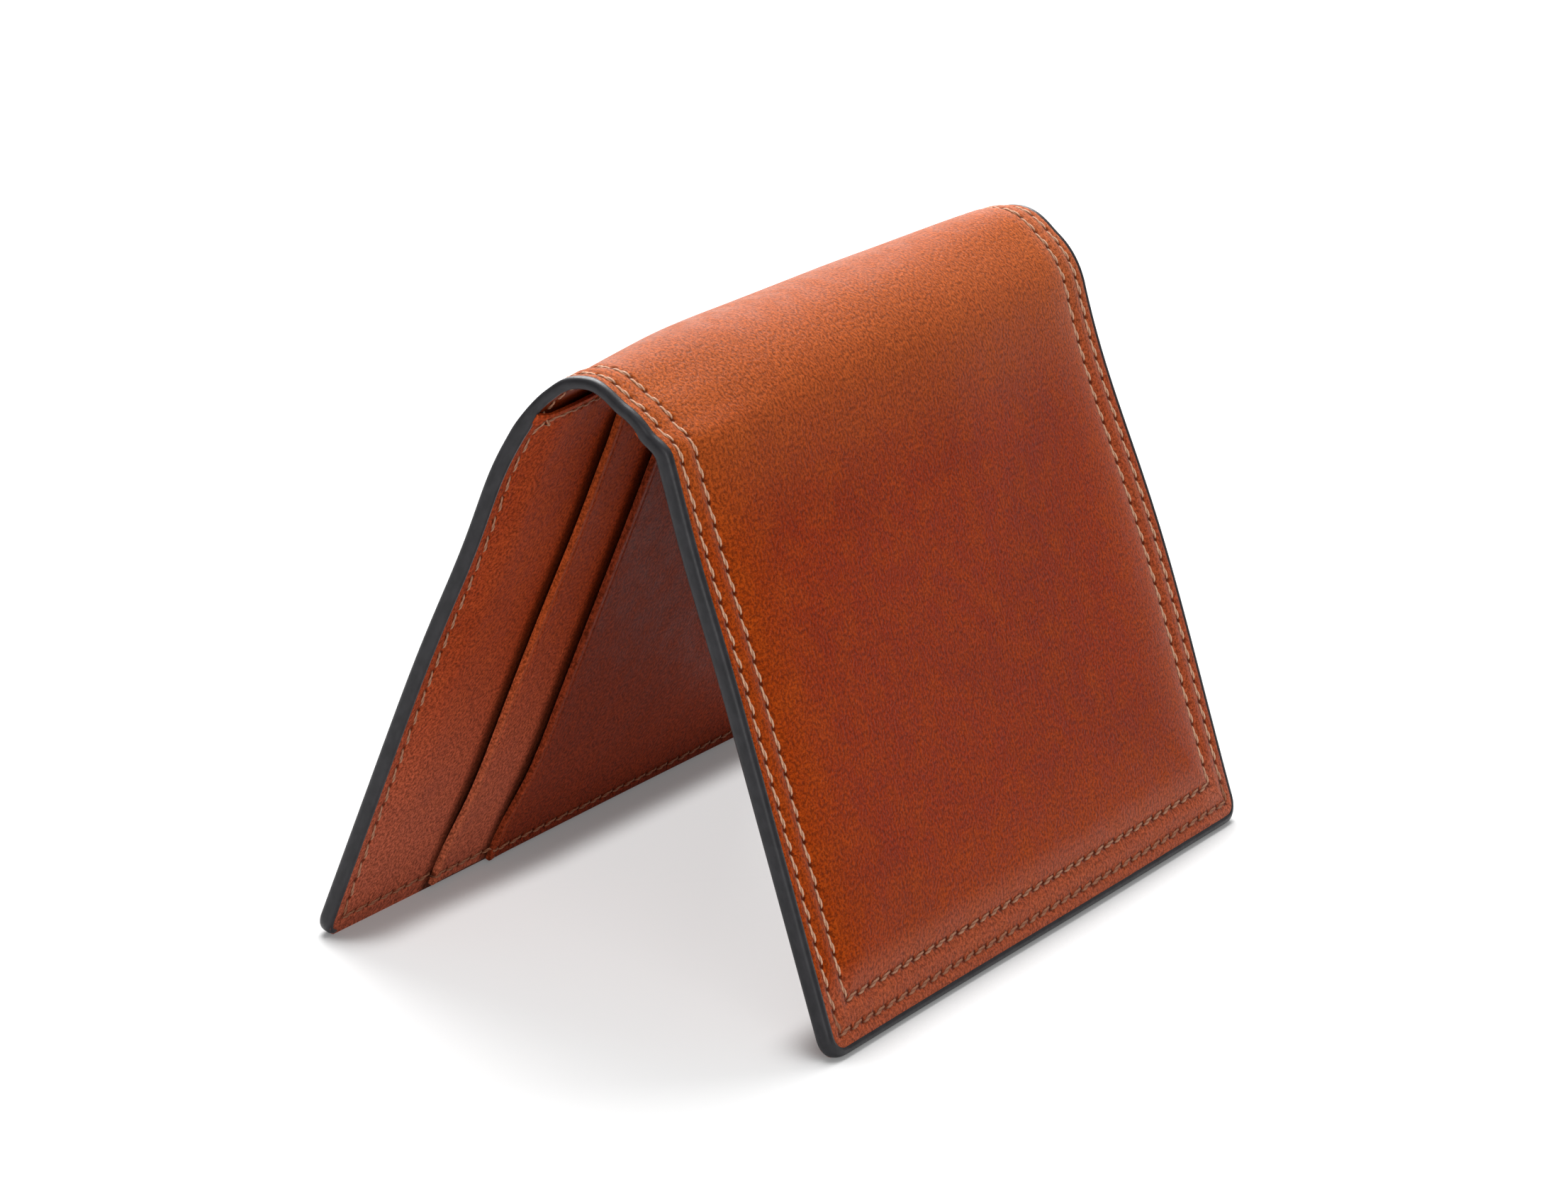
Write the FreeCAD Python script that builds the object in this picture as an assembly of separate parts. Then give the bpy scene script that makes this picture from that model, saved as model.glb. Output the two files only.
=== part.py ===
"""Bifold wallet standing open as a tent: two sewn leather wings joined by a soft spine.

Row frame: +Z up, +Y along the spine, the right wing toward +X, the feet on Z = 0.
Each wing is built flat in its own frame (S down the wing, Y along the spine, N out of the
cover) and is then leant against the spine. All sizes are in millimetres.
"""
import math
import os

import FreeCAD, Part

# Driving dimensions
SPINE_LENGTH = 131.0
WING_LENGTH = 88.5
WING_LEAN_DEG = 20.0
ARCH_RADIUS = 15.2
CORNER_RADIUS = 3.5

COVER_THICKNESS = 1.1
LINING_THICKNESS = 0.5
PANEL_THICKNESS = 0.7
PAD_THICKNESS = 0.8
PAD_INSET = 8.8
PAD_BEVEL = 2.0

PAINT_BULGE = 0.4
PANEL_SETBACK = 1.0

SLIP_GAP = 1.0
CARD_GAP = 0.8
CARD_DEPTH = 54.0
WALL_STEP = 0.25
MOUTHS_FROM_NEAR_END = (27.0, 42.0)
POCKET_START = -1.8
POCKET_END = 83.9
FOLD_SIDE_EDGE = -4.4
SLIP_SIDE_INSET = 4.6

OUTER_ROW_INSET = 3.2
INNER_ROW_INSET = 7.2
FOLD_ROW = -2.95
STITCH_PITCH = 3.35
STITCH_LENGTH = 2.6
STITCH_WIDTH = 0.6
STITCH_HEIGHT = 0.3
STITCH_SLANT_DEG = 12.0

# Sizes that follow from the driving dimensions
PAINTED_HALF = SPINE_LENGTH / 2
LEATHER_HALF = PAINTED_HALF - PAINT_BULGE
LEATHER_END = WING_LENGTH - PAINT_BULGE
LEATHER_CORNER = CORNER_RADIUS - PAINT_BULGE
LINING_FACE = COVER_THICKNESS + LINING_THICKNESS
WING_EDGE = LINING_FACE + PANEL_THICKNESS
MOUTHS = [-PAINTED_HALF + mouth for mouth in MOUTHS_FROM_NEAR_END]
LEAN = math.radians(WING_LEAN_DEG)
BEAD_RADIUS = ((WING_EDGE / 2) ** 2 + PAINT_BULGE ** 2) / (2 * PAINT_BULGE)
WING_TOP = (
    (WING_LENGTH - BEAD_RADIUS) * math.cos(LEAN)
    + WING_EDGE / 2 * math.sin(LEAN)
    + BEAD_RADIUS
)
ARCH_CENTRE = WING_TOP - ARCH_RADIUS * math.sin(LEAN)
SKIN = 1.0


def vec(x, y, z):
    return FreeCAD.Vector(x, y, z)


def block(s_range, y_range, n_range):
    """Box between pairs of limits along S, Y and N."""
    low = vec(s_range[0], y_range[0], n_range[0])
    high = vec(s_range[1], y_range[1], n_range[1])
    size = high - low
    return Part.makeBox(size.x, size.y, size.z, low)


def wing_plate(inset, n_range):
    """Flat plate with the wing's outline, square at the fold and round at both feet."""
    half = LEATHER_HALF - inset
    end = LEATHER_END - inset
    radius = LEATHER_CORNER - inset / 2
    bow = radius * (1 - math.sqrt(0.5))
    z = n_range[0]
    edges = [
        Part.makeLine(vec(0, -half, z), vec(end - radius, -half, z)),
        Part.Arc(
            vec(end - radius, -half, z), vec(end - bow, -half + bow, z), vec(end, -half + radius, z)
        ).toShape(),
        Part.makeLine(vec(end, -half + radius, z), vec(end, half - radius, z)),
        Part.Arc(
            vec(end, half - radius, z), vec(end - bow, half - bow, z), vec(end - radius, half, z)
        ).toShape(),
        Part.makeLine(vec(end - radius, half, z), vec(0, half, z)),
        Part.makeLine(vec(0, half, z), vec(0, -half, z)),
    ]
    return Part.Face(Part.Wire(edges)).extrude(vec(0, 0, n_range[1] - n_range[0]))


def crown(grow, n_range):
    """Low pillow with sloped sides, as wide as the padding plus a margin."""
    rings = []
    for inset, n in zip((0.0, PAD_BEVEL), n_range):
        half = LEATHER_HALF - PAD_INSET + grow - inset
        start = 3.0 - grow + inset
        end = LEATHER_END - PAD_INSET + grow - inset
        corners = [vec(start, -half, n), vec(end, -half, n), vec(end, half, n), vec(start, half, n)]
        rings.append(Part.makePolygon(corners + corners[:1]))
    return Part.makeLoft(rings, True, True)


def padding():
    return crown(0.0, (-COVER_THICKNESS, PAD_THICKNESS - COVER_THICKNESS))


def cover():
    """Outer leather of one wing, lifted over the padding."""
    skin = wing_plate(0.0, (-COVER_THICKNESS, 0.0)).fuse(crown(0.7, (-0.1, PAD_THICKNESS)))
    return skin.cut(padding()).removeSplitter()


def lining():
    return wing_plate(0.0, (-LINING_FACE, -COVER_THICKNESS))


def panel_start(layer):
    """Where a panel begins along the spine: the backing at the near end, a pocket at its mouth."""
    return -PAINTED_HALF - SKIN if layer == 1 else MOUTHS[layer - 2]


def panel_depth(layer, raised, over_card):
    """Depth of a panel's inner face below the cover."""
    depth = LINING_FACE + layer * PANEL_THICKNESS
    depth += SLIP_GAP if raised else 0.0
    depth += (layer - 1) * CARD_GAP if over_card else 0.0
    return depth


def slip_zone(layer):
    """Ranges along S and Y where a panel stands off the lining."""
    step = layer * WALL_STEP
    half = PAINTED_HALF - SLIP_SIDE_INSET + step
    return (FOLD_SIDE_EDGE, POCKET_END + step), (max(-half, panel_start(layer)), half)


def card_zone(layer):
    """Ranges along S and Y where a pocket stands off the panel behind it."""
    step = (layer - 1) * WALL_STEP
    start = MOUTHS[layer - 2]
    return (
        (POCKET_START - step, POCKET_END + layer * WALL_STEP),
        (start, start + CARD_DEPTH + step),
    )


def panel_stack(layer):
    """Everything between the lining's face and the inner face of a panel."""
    face = -LINING_FACE
    setback = 0.0 if layer == 1 else PANEL_SETBACK
    rim = wing_plate(setback, (-panel_depth(layer, False, False), face))
    window = block(
        (-SKIN, WING_LENGTH + SKIN), (panel_start(layer), PAINTED_HALF + SKIN), (-20.0, 0.0)
    )
    solid = rim.common(window)
    s_range, y_range = slip_zone(layer)
    solid = solid.fuse(block(s_range, y_range, (-panel_depth(layer, True, False), face)))
    if layer > 1:
        s_range, y_range = card_zone(layer)
        solid = solid.fuse(block(s_range, y_range, (-panel_depth(layer, True, True), face)))
        solid = solid.fuse(panel_stack(layer - 1))
    return solid.removeSplitter()


def slip_pocket():
    """Space behind the backing panel, open toward the fold."""
    half = PAINTED_HALF - SLIP_SIDE_INSET
    return block(
        (FOLD_SIDE_EDGE - SKIN, POCKET_END), (-half, half), (-LINING_FACE - SLIP_GAP, -LINING_FACE)
    )


def card_pocket(layer):
    """Space for cards behind a pocket, open at the pocket's mouth."""
    start = MOUTHS[layer - 2]
    top = panel_depth(layer, True, True) - PANEL_THICKNESS
    return block(
        (POCKET_START, POCKET_END), (start - SKIN, start + CARD_DEPTH), (-top, -LINING_FACE)
    )


def fold_relief():
    """Room under the free edge of the panels for the curve of the spine's lining."""
    return block(
        (FOLD_SIDE_EDGE - SKIN, 0.0), (-PAINTED_HALF, PAINTED_HALF), (-LINING_FACE - SLIP_GAP, 0.0)
    )


def backing_panel():
    return panel_stack(1).cut(slip_pocket()).cut(fold_relief()).removeSplitter()


def pocket(layer):
    """One stepped card pocket, formed over the panel behind it."""
    sheet = panel_stack(layer).cut(panel_stack(layer - 1))
    return sheet.cut(card_pocket(layer)).cut(fold_relief()).removeSplitter()


def bead_face(thickness):
    """Half-round section of edge paint on a cut edge at S = 0, bulging toward -Y."""
    top = vec(0, 0, 0)
    low = vec(0, 0, -thickness)
    bulge = vec(0, -PAINT_BULGE, -thickness / 2)
    return Part.Face(Part.Wire([Part.Arc(top, bulge, low).toShape(), Part.makeLine(low, top)]))


def paint_end():
    """Edge paint up one end of a wing and round its foot."""
    straight_length = LEATHER_END - LEATHER_CORNER
    face = bead_face(WING_EDGE)
    face.translate(vec(0, -LEATHER_HALF, 0))
    straight = face.extrude(vec(straight_length, 0, 0))
    face.translate(vec(straight_length, 0, 0))
    pivot = vec(straight_length, -LEATHER_HALF + LEATHER_CORNER, 0)
    bend = face.revolve(pivot, vec(0, 0, 1), 90)
    return straight.fuse(bend).removeSplitter()


def paint_ends():
    near = paint_end()
    return Part.makeCompound([near, near.mirror(vec(0, 0, 0), vec(0, 1, 0))])


def paint_foot():
    """Edge paint along the foot of a wing, between its round corners."""
    face = bead_face(WING_EDGE)
    face.rotate(vec(0, 0, 0), vec(0, 0, 1), 90)
    half = LEATHER_HALF - LEATHER_CORNER
    face.translate(vec(LEATHER_END, -half, 0))
    return face.extrude(vec(0, 2 * half, 0))


def stitch(centre, along_deg, height):
    """One slanted stitch lying on a face at the given height, outward when height is positive."""
    bar = Part.makeBox(
        STITCH_LENGTH, STITCH_WIDTH, STITCH_HEIGHT, vec(-STITCH_LENGTH / 2, -STITCH_WIDTH / 2, 0)
    )
    bar.rotate(vec(0, 0, 0), vec(0, 0, 1), along_deg + STITCH_SLANT_DEG)
    bar.translate(vec(centre[0], centre[1], height))
    return bar


def run_points(start, end):
    """Centres of evenly spaced stitches from start to end."""
    length = math.hypot(end[0] - start[0], end[1] - start[1])
    count = round(length / STITCH_PITCH)
    shares = [(i + 0.5) / count for i in range(count)]
    return [
        (start[0] + (end[0] - start[0]) * share, start[1] + (end[1] - start[1]) * share)
        for share in shares
    ]


def row_runs(inset):
    """The three straight runs of a row round the near end, the foot and the far end."""
    half = PAINTED_HALF - inset
    foot = WING_LENGTH - inset
    return [
        ((0.0, -half), (foot, -half), 0.0),
        ((foot, -half), (foot, half), 90.0),
        ((foot, half), (0.0, half), 0.0),
    ]


def cover_row(inset):
    bars = []
    for start, end, angle in row_runs(inset):
        bars += [stitch(point, angle, 0.0) for point in run_points(start, end)]
    return Part.makeCompound(bars)


def layer_at(y):
    """Number of panels under a stitch at this place along the spine."""
    margin = STITCH_LENGTH / 2 + 0.1
    return 1 + sum(1 for mouth in MOUTHS if y > mouth + margin)


def clear_of_mouths(y):
    margin = STITCH_LENGTH / 2 + 0.1
    return all(abs(y - mouth) > margin for mouth in MOUTHS)


def panel_rows():
    """The visible row on the inner face: round the rim, and up the fold side of the panels."""
    bars = []
    for start, end, angle in row_runs(OUTER_ROW_INSET):
        for point in run_points(start, end):
            if clear_of_mouths(point[1]):
                depth = panel_depth(layer_at(point[1]), False, False)
                bars.append(stitch(point, angle, -depth - STITCH_HEIGHT))
    half = PAINTED_HALF - SLIP_SIDE_INSET - STITCH_LENGTH / 2
    for point in run_points((FOLD_ROW, -half), (FOLD_ROW, half)):
        if clear_of_mouths(point[1]):
            depth = panel_depth(layer_at(point[1]), True, False)
            bars.append(stitch(point, 90.0, -depth - STITCH_HEIGHT))
    return Part.makeCompound(bars)


def lean(shape):
    """Place a flat wing shape on the right of the spine."""
    placed = shape.copy()
    placed.rotate(vec(0, 0, 0), vec(0, 1, 0), 90 - WING_LEAN_DEG)
    placed.translate(
        vec(ARCH_RADIUS * math.cos(LEAN), 0, ARCH_CENTRE + ARCH_RADIUS * math.sin(LEAN))
    )
    return placed


def over_spine(face):
    """Sweep a face that stands at the crest of the spine from one wing to the other."""
    axis_point = vec(0, 0, ARCH_CENTRE)
    face.rotate(axis_point, vec(0, 1, 0), WING_LEAN_DEG - 90)
    return face.revolve(axis_point, vec(0, 1, 0), 180 - 2 * WING_LEAN_DEG)


def arch(radius, thickness):
    """Curved sheet over the spine between the two wings."""
    high = ARCH_CENTRE + radius
    low = high - thickness
    corners = [
        vec(0, -LEATHER_HALF, low),
        vec(0, LEATHER_HALF, low),
        vec(0, LEATHER_HALF, high),
        vec(0, -LEATHER_HALF, high),
    ]
    return over_spine(Part.Face(Part.makePolygon(corners + corners[:1])))


def paint_arch():
    """Edge paint over both ends of the spine."""
    face = bead_face(LINING_FACE)
    face.translate(vec(0, -LEATHER_HALF, ARCH_CENTRE + ARCH_RADIUS))
    near = over_spine(face)
    return Part.makeCompound([near, near.mirror(vec(0, 0, 0), vec(0, 1, 0))])


def arch_row(inset, height):
    """Stitches over the spine near both of its ends, at a height from the cover's face."""
    sweep = 180 - 2 * WING_LEAN_DEG
    count = round(math.radians(sweep) * ARCH_RADIUS / STITCH_PITCH)
    bars = []
    for side in (-1, 1):
        for i in range(count):
            bar = stitch((0.0, side * (PAINTED_HALF - inset)), 0.0, ARCH_CENTRE + ARCH_RADIUS + height)
            bar.rotate(vec(0, 0, ARCH_CENTRE), vec(0, 1, 0), sweep * ((i + 0.5) / count - 0.5))
            bars.append(bar)
    return Part.makeCompound(bars)


WING_NODES = {
    "cover": cover(),
    "padding": padding(),
    "lining": lining(),
    "backing_panel": backing_panel(),
    "pocket_middle": pocket(2),
    "pocket_front": pocket(3),
    "stitches_outer": cover_row(OUTER_ROW_INSET),
    "stitches_inner": cover_row(INNER_ROW_INSET),
    "stitches_panel": panel_rows(),
    "paint_foot": paint_foot(),
    "paint_ends": paint_ends(),
}

STITCH_SAG = ARCH_RADIUS - math.sqrt(ARCH_RADIUS ** 2 - (STITCH_LENGTH / 2) ** 2)

SPINE_NODES = {
    "cover_spine": arch(ARCH_RADIUS, COVER_THICKNESS),
    "lining_spine": arch(ARCH_RADIUS - COVER_THICKNESS, LINING_THICKNESS),
    "stitches_outer_spine": arch_row(OUTER_ROW_INSET, 0.0),
    "stitches_inner_spine": arch_row(INNER_ROW_INSET, 0.0),
    "stitches_lining_spine": arch_row(OUTER_ROW_INSET, -LINING_FACE - STITCH_HEIGHT - STITCH_SAG),
    "paint_spine": paint_arch(),
}


def write(node, shape):
    shape.exportStep("parts/" + node + ".step")


os.makedirs("parts", exist_ok=True)
for name, flat in WING_NODES.items():
    right = lean(flat)
    write(name + "_right", right)
    write(name + "_left", right.mirror(vec(0, 0, 0), vec(1, 0, 0)))
for name, shape in SPINE_NODES.items():
    write(name, shape)
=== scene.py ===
"""Looks of a bifold wallet that stands open as a tent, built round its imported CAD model.

Every leather layer is a sheet laid over one shared shape: P runs from the crest of the spine
down a wing, V runs along the spine, and a height is measured outward from the cover. All
three are in millimetres. skin_place() and wing_place() turn them into the row frame.
"""
import math

import bpy
import numpy as np
from mathutils import Matrix, Vector


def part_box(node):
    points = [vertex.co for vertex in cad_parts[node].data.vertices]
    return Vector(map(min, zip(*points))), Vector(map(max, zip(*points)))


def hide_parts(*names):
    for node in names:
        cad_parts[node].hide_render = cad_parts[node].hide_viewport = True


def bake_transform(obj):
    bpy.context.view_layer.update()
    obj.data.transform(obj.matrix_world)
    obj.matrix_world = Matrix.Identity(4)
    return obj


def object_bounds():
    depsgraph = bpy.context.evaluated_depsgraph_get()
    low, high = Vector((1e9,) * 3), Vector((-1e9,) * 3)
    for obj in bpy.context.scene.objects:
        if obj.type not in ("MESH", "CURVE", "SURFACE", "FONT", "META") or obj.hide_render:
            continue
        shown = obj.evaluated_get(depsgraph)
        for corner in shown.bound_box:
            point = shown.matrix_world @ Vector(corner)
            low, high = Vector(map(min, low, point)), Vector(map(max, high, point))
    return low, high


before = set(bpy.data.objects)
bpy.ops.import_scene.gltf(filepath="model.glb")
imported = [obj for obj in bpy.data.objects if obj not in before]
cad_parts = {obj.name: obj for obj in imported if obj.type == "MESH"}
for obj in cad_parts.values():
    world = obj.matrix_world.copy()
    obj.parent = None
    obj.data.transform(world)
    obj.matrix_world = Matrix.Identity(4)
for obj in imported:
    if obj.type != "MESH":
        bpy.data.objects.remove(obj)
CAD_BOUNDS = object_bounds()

MM = 0.001

# ---------------------------------------------------------------------------- sizes, mm
LEAN = math.radians(20.0)  # of each wing from upright
ARCH_RADIUS = 15.2  # of the cover's face over the spine
WING_LENGTH = 88.5  # from the arch to the foot
COVER = 1.1  # thickness of the cover leather
LINING = 0.5  # thickness of the lining leather
PANEL = 0.7  # thickness of a card panel
PAINT_BULGE = 0.4  # of the edge paint past the cut leather
CORNER_RADIUS = 3.5
SLIP_GAP = 1.0  # between the lining and the backing panel
BACKING_OVERHANG = 0.3  # of the backing panel past the cut leather at the foot
POCKET_INSET = 1.0  # of the pockets from the cut leather at the foot and far end
FOLD_SIDE_EDGE = -4.4  # of the card panels, from the start of the wing
MOUTHS_FROM_NEAR_END = (27.0, 42.0)  # of the middle and front pockets
OUTER_ROW = 3.2  # from the edge to the outer stitch row
INNER_ROW = 7.2  # from the edge to the inner stitch row
FOLD_ROW = -2.95  # of the stitch row by the fold, from the start of the wing
STITCH_PITCH = 3.35
STITCH_RADIUS = 0.235
INSIDE_STITCH_RADIUS = 0.2
STITCH_SLANT = math.radians(14.0)
RINGS = 13  # of points along a stitch
SPOKES = 8  # of points round a stitch
CONTACT_SHADOW = 11.0  # reach of the painted contact shadow that dims the floor's glow beside whatever stands on it

SPINE_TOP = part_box("cover_spine")[1].z / MM
HALF = CAD_BOUNDS[1].y / MM
ARC = ARCH_RADIUS * (math.pi / 2 - LEAN)
FOOT = ARC + WING_LENGTH
LEATHER_HALF = HALF - PAINT_BULGE
LEATHER_FOOT = FOOT - PAINT_BULGE
LEATHER_CORNER = CORNER_RADIUS - PAINT_BULGE
LINING_FACE = COVER + LINING
MOUTHS = [-HALF + mouth for mouth in MOUTHS_FROM_NEAR_END]
ARCH_CENTRE = SPINE_TOP - ARCH_RADIUS
FOLD_EDGE = ARC + FOLD_SIDE_EDGE

SIDES = {"right": 1, "left": -1}

# ---------------------------------------------------------------------------- view, m
FLOOR_SIZE = 20.0
CAMERA_AZIMUTH = math.radians(29.42)
CAMERA_ELEVATION = math.radians(16.85)
CAMERA_ROLL = math.radians(2.302)
CAMERA_DISTANCE = 0.8813
CAMERA_TARGET = Vector((-0.004403, 0.001212, 0.045))
CAMERA_LENS = 133.06
LAMP_TARGET = Vector((0.0, 0.0, 0.045))

# ---------------------------------------------------------------------------- colours
# painted highlight over the spine
SPINE_HIGHLIGHT_TONE = (0.360, 0.090, 0.020)
# painted pale sheen above the foot and toward the far end
PAINTED_SHEEN_TONE = (0.42, 0.17, 0.12)
POCKET_SHADE = (0.016, 0.003, 0.001)
THREAD_TONES = ((0.36, 0.17, 0.09), (0.74, 0.46, 0.31))
# painted shade on the thread, strongest toward the foot
PAINTED_THREAD_SHADE = (0.22, 0.074, 0.033)
# painted shade in the grooves between the thread's plies
THREAD_GROOVE_SHADE = (0.14, 0.045, 0.020)
# painted shade where the thread dives into its needle hole
THREAD_HOLE_SHADE = (0.07, 0.02, 0.008)
PAINT_TONES = ((0.014, 0.0135, 0.0155), (0.022, 0.021, 0.024))
FELT_TONES = ((0.30, 0.24, 0.18), (0.46, 0.38, 0.30))
FLOOR_TONES = ((0.34, 0.34, 0.34), (0.36, 0.36, 0.36))


# ---------------------------------------------------------------------------- shared shape
def smooth(x):
    """Smooth step from 0 to 1."""
    x = np.clip(x, 0.0, 1.0)
    return x * x * (3.0 - 2.0 * x)


def bump(x, centre, width):
    """A soft hump of height 1."""
    return np.exp(-(((x - centre) / width) ** 2))


def drape(side, p, v):
    """How far the relaxed leather leaves the plain arch and flat wings, outward positive.

    The crest climbs toward the far end and rolls off there. The near end is tucked in where
    the arch meets the wing, and the far end bows out.
    """
    q = v / HALF
    near = smooth(-q * 1.6 - 0.55)
    far = smooth(q * 1.2 - 0.1)
    rise = 1.2 * smooth((q + 1.0) / 0.5) + 0.9 * smooth((q + 0.5) / 1.3)
    crest = (rise - 1.0 - 0.9 * smooth((q - 0.85) / 0.15)) * bump(p, 0.0, 13.0)
    if side > 0:
        tucked = -1.6 * (1.0 - smooth((p - 13.5) / 5.0)) - 0.5 * bump(p, 32.0, 14.0)
        bowed = -2.4 * bump(p, 26.0, 26.0)
    else:
        tucked = -1.9 * bump(p, 14.0, 9.0) - 1.0 * bump(p, 36.0, 16.0)
        bowed = -1.6 * bump(p, 26.0, 26.0)
    wander = 0.18 * np.sin(0.071 * p + 0.9 * side) * np.sin(0.055 * v + 0.4)
    return crest + smooth(p / 8.0) * (near * tucked + far * bowed + wander)


def skin_place(side, p, v, height):
    """Points over the bent cover."""
    p, v, height = np.broadcast_arrays(np.asarray(p, float), v, height)
    turn = np.minimum(p, ARC) / ARCH_RADIUS
    down = np.maximum(p - ARC, 0.0)
    lift = height + drape(side, p, v)
    x = (ARCH_RADIUS + lift) * np.sin(turn) + down * math.sin(LEAN)
    z = ARCH_CENTRE + (ARCH_RADIUS + lift) * np.cos(turn) - down * math.cos(LEAN)
    return np.stack([side * x, v, z], axis=-1)


def wing_place(side, p, v, height):
    """Points over a wing whose plane runs straight on past the start of the arch."""
    p, v, height = np.broadcast_arrays(np.asarray(p, float), v, height)
    down = p - ARC
    lift = height + drape(side, p, v)
    x = (ARCH_RADIUS + lift) * math.cos(LEAN) + down * math.sin(LEAN)
    z = ARCH_CENTRE + (ARCH_RADIUS + lift) * math.sin(LEAN) - down * math.cos(LEAN)
    return np.stack([side * x, v, z], axis=-1)


def edge_distance(p, v):
    """Distance to the near edge, foot or far edge, whichever is nearest."""
    to_foot = FOOT - p
    to_end = HALF - np.abs(v)
    a = np.maximum(CORNER_RADIUS - to_foot, 0.0)
    b = np.maximum(CORNER_RADIUS - to_end, 0.0)
    rounded = CORNER_RADIUS - np.hypot(a, b)
    return np.where((a > 0) & (b > 0), rounded, np.minimum(to_foot, to_end))


def row_distance(p, v):
    """Distance to the edge with square corners, as the stitch rows run."""
    return np.minimum(FOOT - p, HALF - np.abs(v))


# ---------------------------------------------------------------------------- mesh making
def spaced(start, end, fine_start, fine_end, step=1.5, fine=0.42, reach=9.5):
    """Grid lines from start to end, close together near the ends that ask for it."""
    marks = [start]
    while marks[-1] < end - 1e-6:
        here = marks[-1]
        near_start = fine_start and here - start < reach
        near_end = fine_end and end - here < reach + step
        marks.append(here + (fine if near_start or near_end else step))
    marks = np.array(marks)
    return start + (marks - start) * (end - start) / (marks[-1] - start)


def with_rim(marks, at_start, at_end, rim=(0.06, 0.18, 0.38)):
    """Adds closer grid lines beside an edge, so that it can be rounded."""
    extra = []
    if at_start:
        extra += [marks[0] + r for r in rim]
    if at_end:
        extra += [marks[-1] - r for r in rim]
    return np.unique(np.concatenate([marks, extra]))


def round_corners(p, v, p_end, half, radius):
    """Moves grid points off the square foot corners of a sheet onto round ones."""
    a = np.clip((p - (p_end - radius)) / radius, 0.0, 1.0)
    b = np.clip((np.abs(v) - (half - radius)) / radius, 0.0, 1.0)
    inside = (a > 0) & (b > 0)
    new_p = np.where(inside, p_end - radius + radius * a * np.sqrt(1 - b * b / 2), p)
    new_v = np.where(inside, np.sign(v) * (half - radius + radius * b * np.sqrt(1 - a * a / 2)), v)
    return new_p, new_v


def new_object(name, points, faces, attributes, material):
    """A mesh object from points in mm, with named values on its points."""
    mesh = bpy.data.meshes.new(name)
    mesh.from_pydata((points * MM).tolist(), [], faces)
    mesh.polygons.foreach_set("use_smooth", np.ones(len(mesh.polygons), bool))
    for key, values in attributes.items():
        layer = mesh.attributes.new(key, "FLOAT_VECTOR", "POINT")
        layer.data.foreach_set("vector", np.asarray(values, np.float32).ravel())
    mesh.materials.append(material)
    mesh.validate()
    mesh.set_sharp_from_angle(angle=math.radians(70.0))
    piece = bpy.data.objects.new(name, mesh)
    bpy.context.scene.collection.objects.link(piece)
    return piece


def grid_faces(rows, columns, offset, flip):
    """Quads of a grid of points stored row by row."""
    index = offset + np.arange(rows * columns).reshape(rows, columns)
    quads = np.stack([index[:-1, :-1], index[1:, :-1], index[1:, 1:], index[:-1, 1:]], axis=-1)
    quads = quads.reshape(-1, 4)
    return quads[:, ::-1].tolist() if flip else quads.tolist()


def rim_faces(rows, columns, flip):
    """Quads that close the wall between an upper and a lower grid."""
    index = np.arange(rows * columns).reshape(rows, columns)
    loop = np.concatenate([index[0, :], index[1:, -1], index[-1, -2::-1], index[-2:0:-1, 0]])
    after = np.roll(loop, -1)
    low = rows * columns
    quads = np.stack([loop, after, after + low, loop + low], axis=-1)
    return quads[:, ::-1].tolist() if flip else quads.tolist()


def tube_faces(rings, spokes, flip, first_corner=0):
    """Quads round a tube stored ring by ring, and a cap at each end.

    A quad is split into triangles from its first corner, so first_corner sets which diagonal that is.
    """
    faces = []
    for i in range(rings - 1):
        for j in range(spokes):
            k = (j + 1) % spokes
            here, after = i * spokes, (i + 1) * spokes
            quad = [here + j, here + k, after + k, after + j]
            faces.append(quad[first_corner:] + quad[:first_corner])
    first = list(range(spokes))
    last = [(rings - 1) * spokes + j for j in range(spokes)]
    faces += [first[::-1], last]
    return [face[::-1] for face in faces] if flip else faces


def run_count(length):
    """Number of stitches in a straight run."""
    return np.rint(length / STITCH_PITCH)


def run_phase(along, length):
    """Place along a run, counted in stitches."""
    return along / length * run_count(length)


def rim_phase(p, v, inset):
    """Place along the row that runs round the near end, foot and far end at an inset."""
    on_foot = FOOT - p < HALF - np.abs(v)
    half = HALF - inset
    return np.where(on_foot, run_phase(v + half, 2 * half), run_phase(p, FOOT - inset))


def cover_rows(p, v):
    """Stitch phase, distance from the nearest row and distance from the edge, on the cover."""
    distance = row_distance(p, v)
    inset = np.where(distance < (OUTER_ROW + INNER_ROW) / 2, OUTER_ROW, INNER_ROW)
    return np.stack([rim_phase(p, v, inset), np.abs(distance - inset), distance], axis=-1)


def inside_rows(p, v, mouth=-2 * HALF):
    """Stitch phase, distance from the nearest row and distance behind a mouth, on the card side."""
    from_rim = np.abs(row_distance(p, v) - OUTER_ROW)
    from_fold = np.abs(p - ARC - FOLD_ROW)
    half = HALF - OUTER_ROW
    near_fold = from_fold < from_rim
    phase = np.where(near_fold, run_phase(v + half, 2 * half), rim_phase(p, v, OUTER_ROW))
    return np.stack([phase, np.minimum(from_rim, from_fold), v - mouth], axis=-1)


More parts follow.
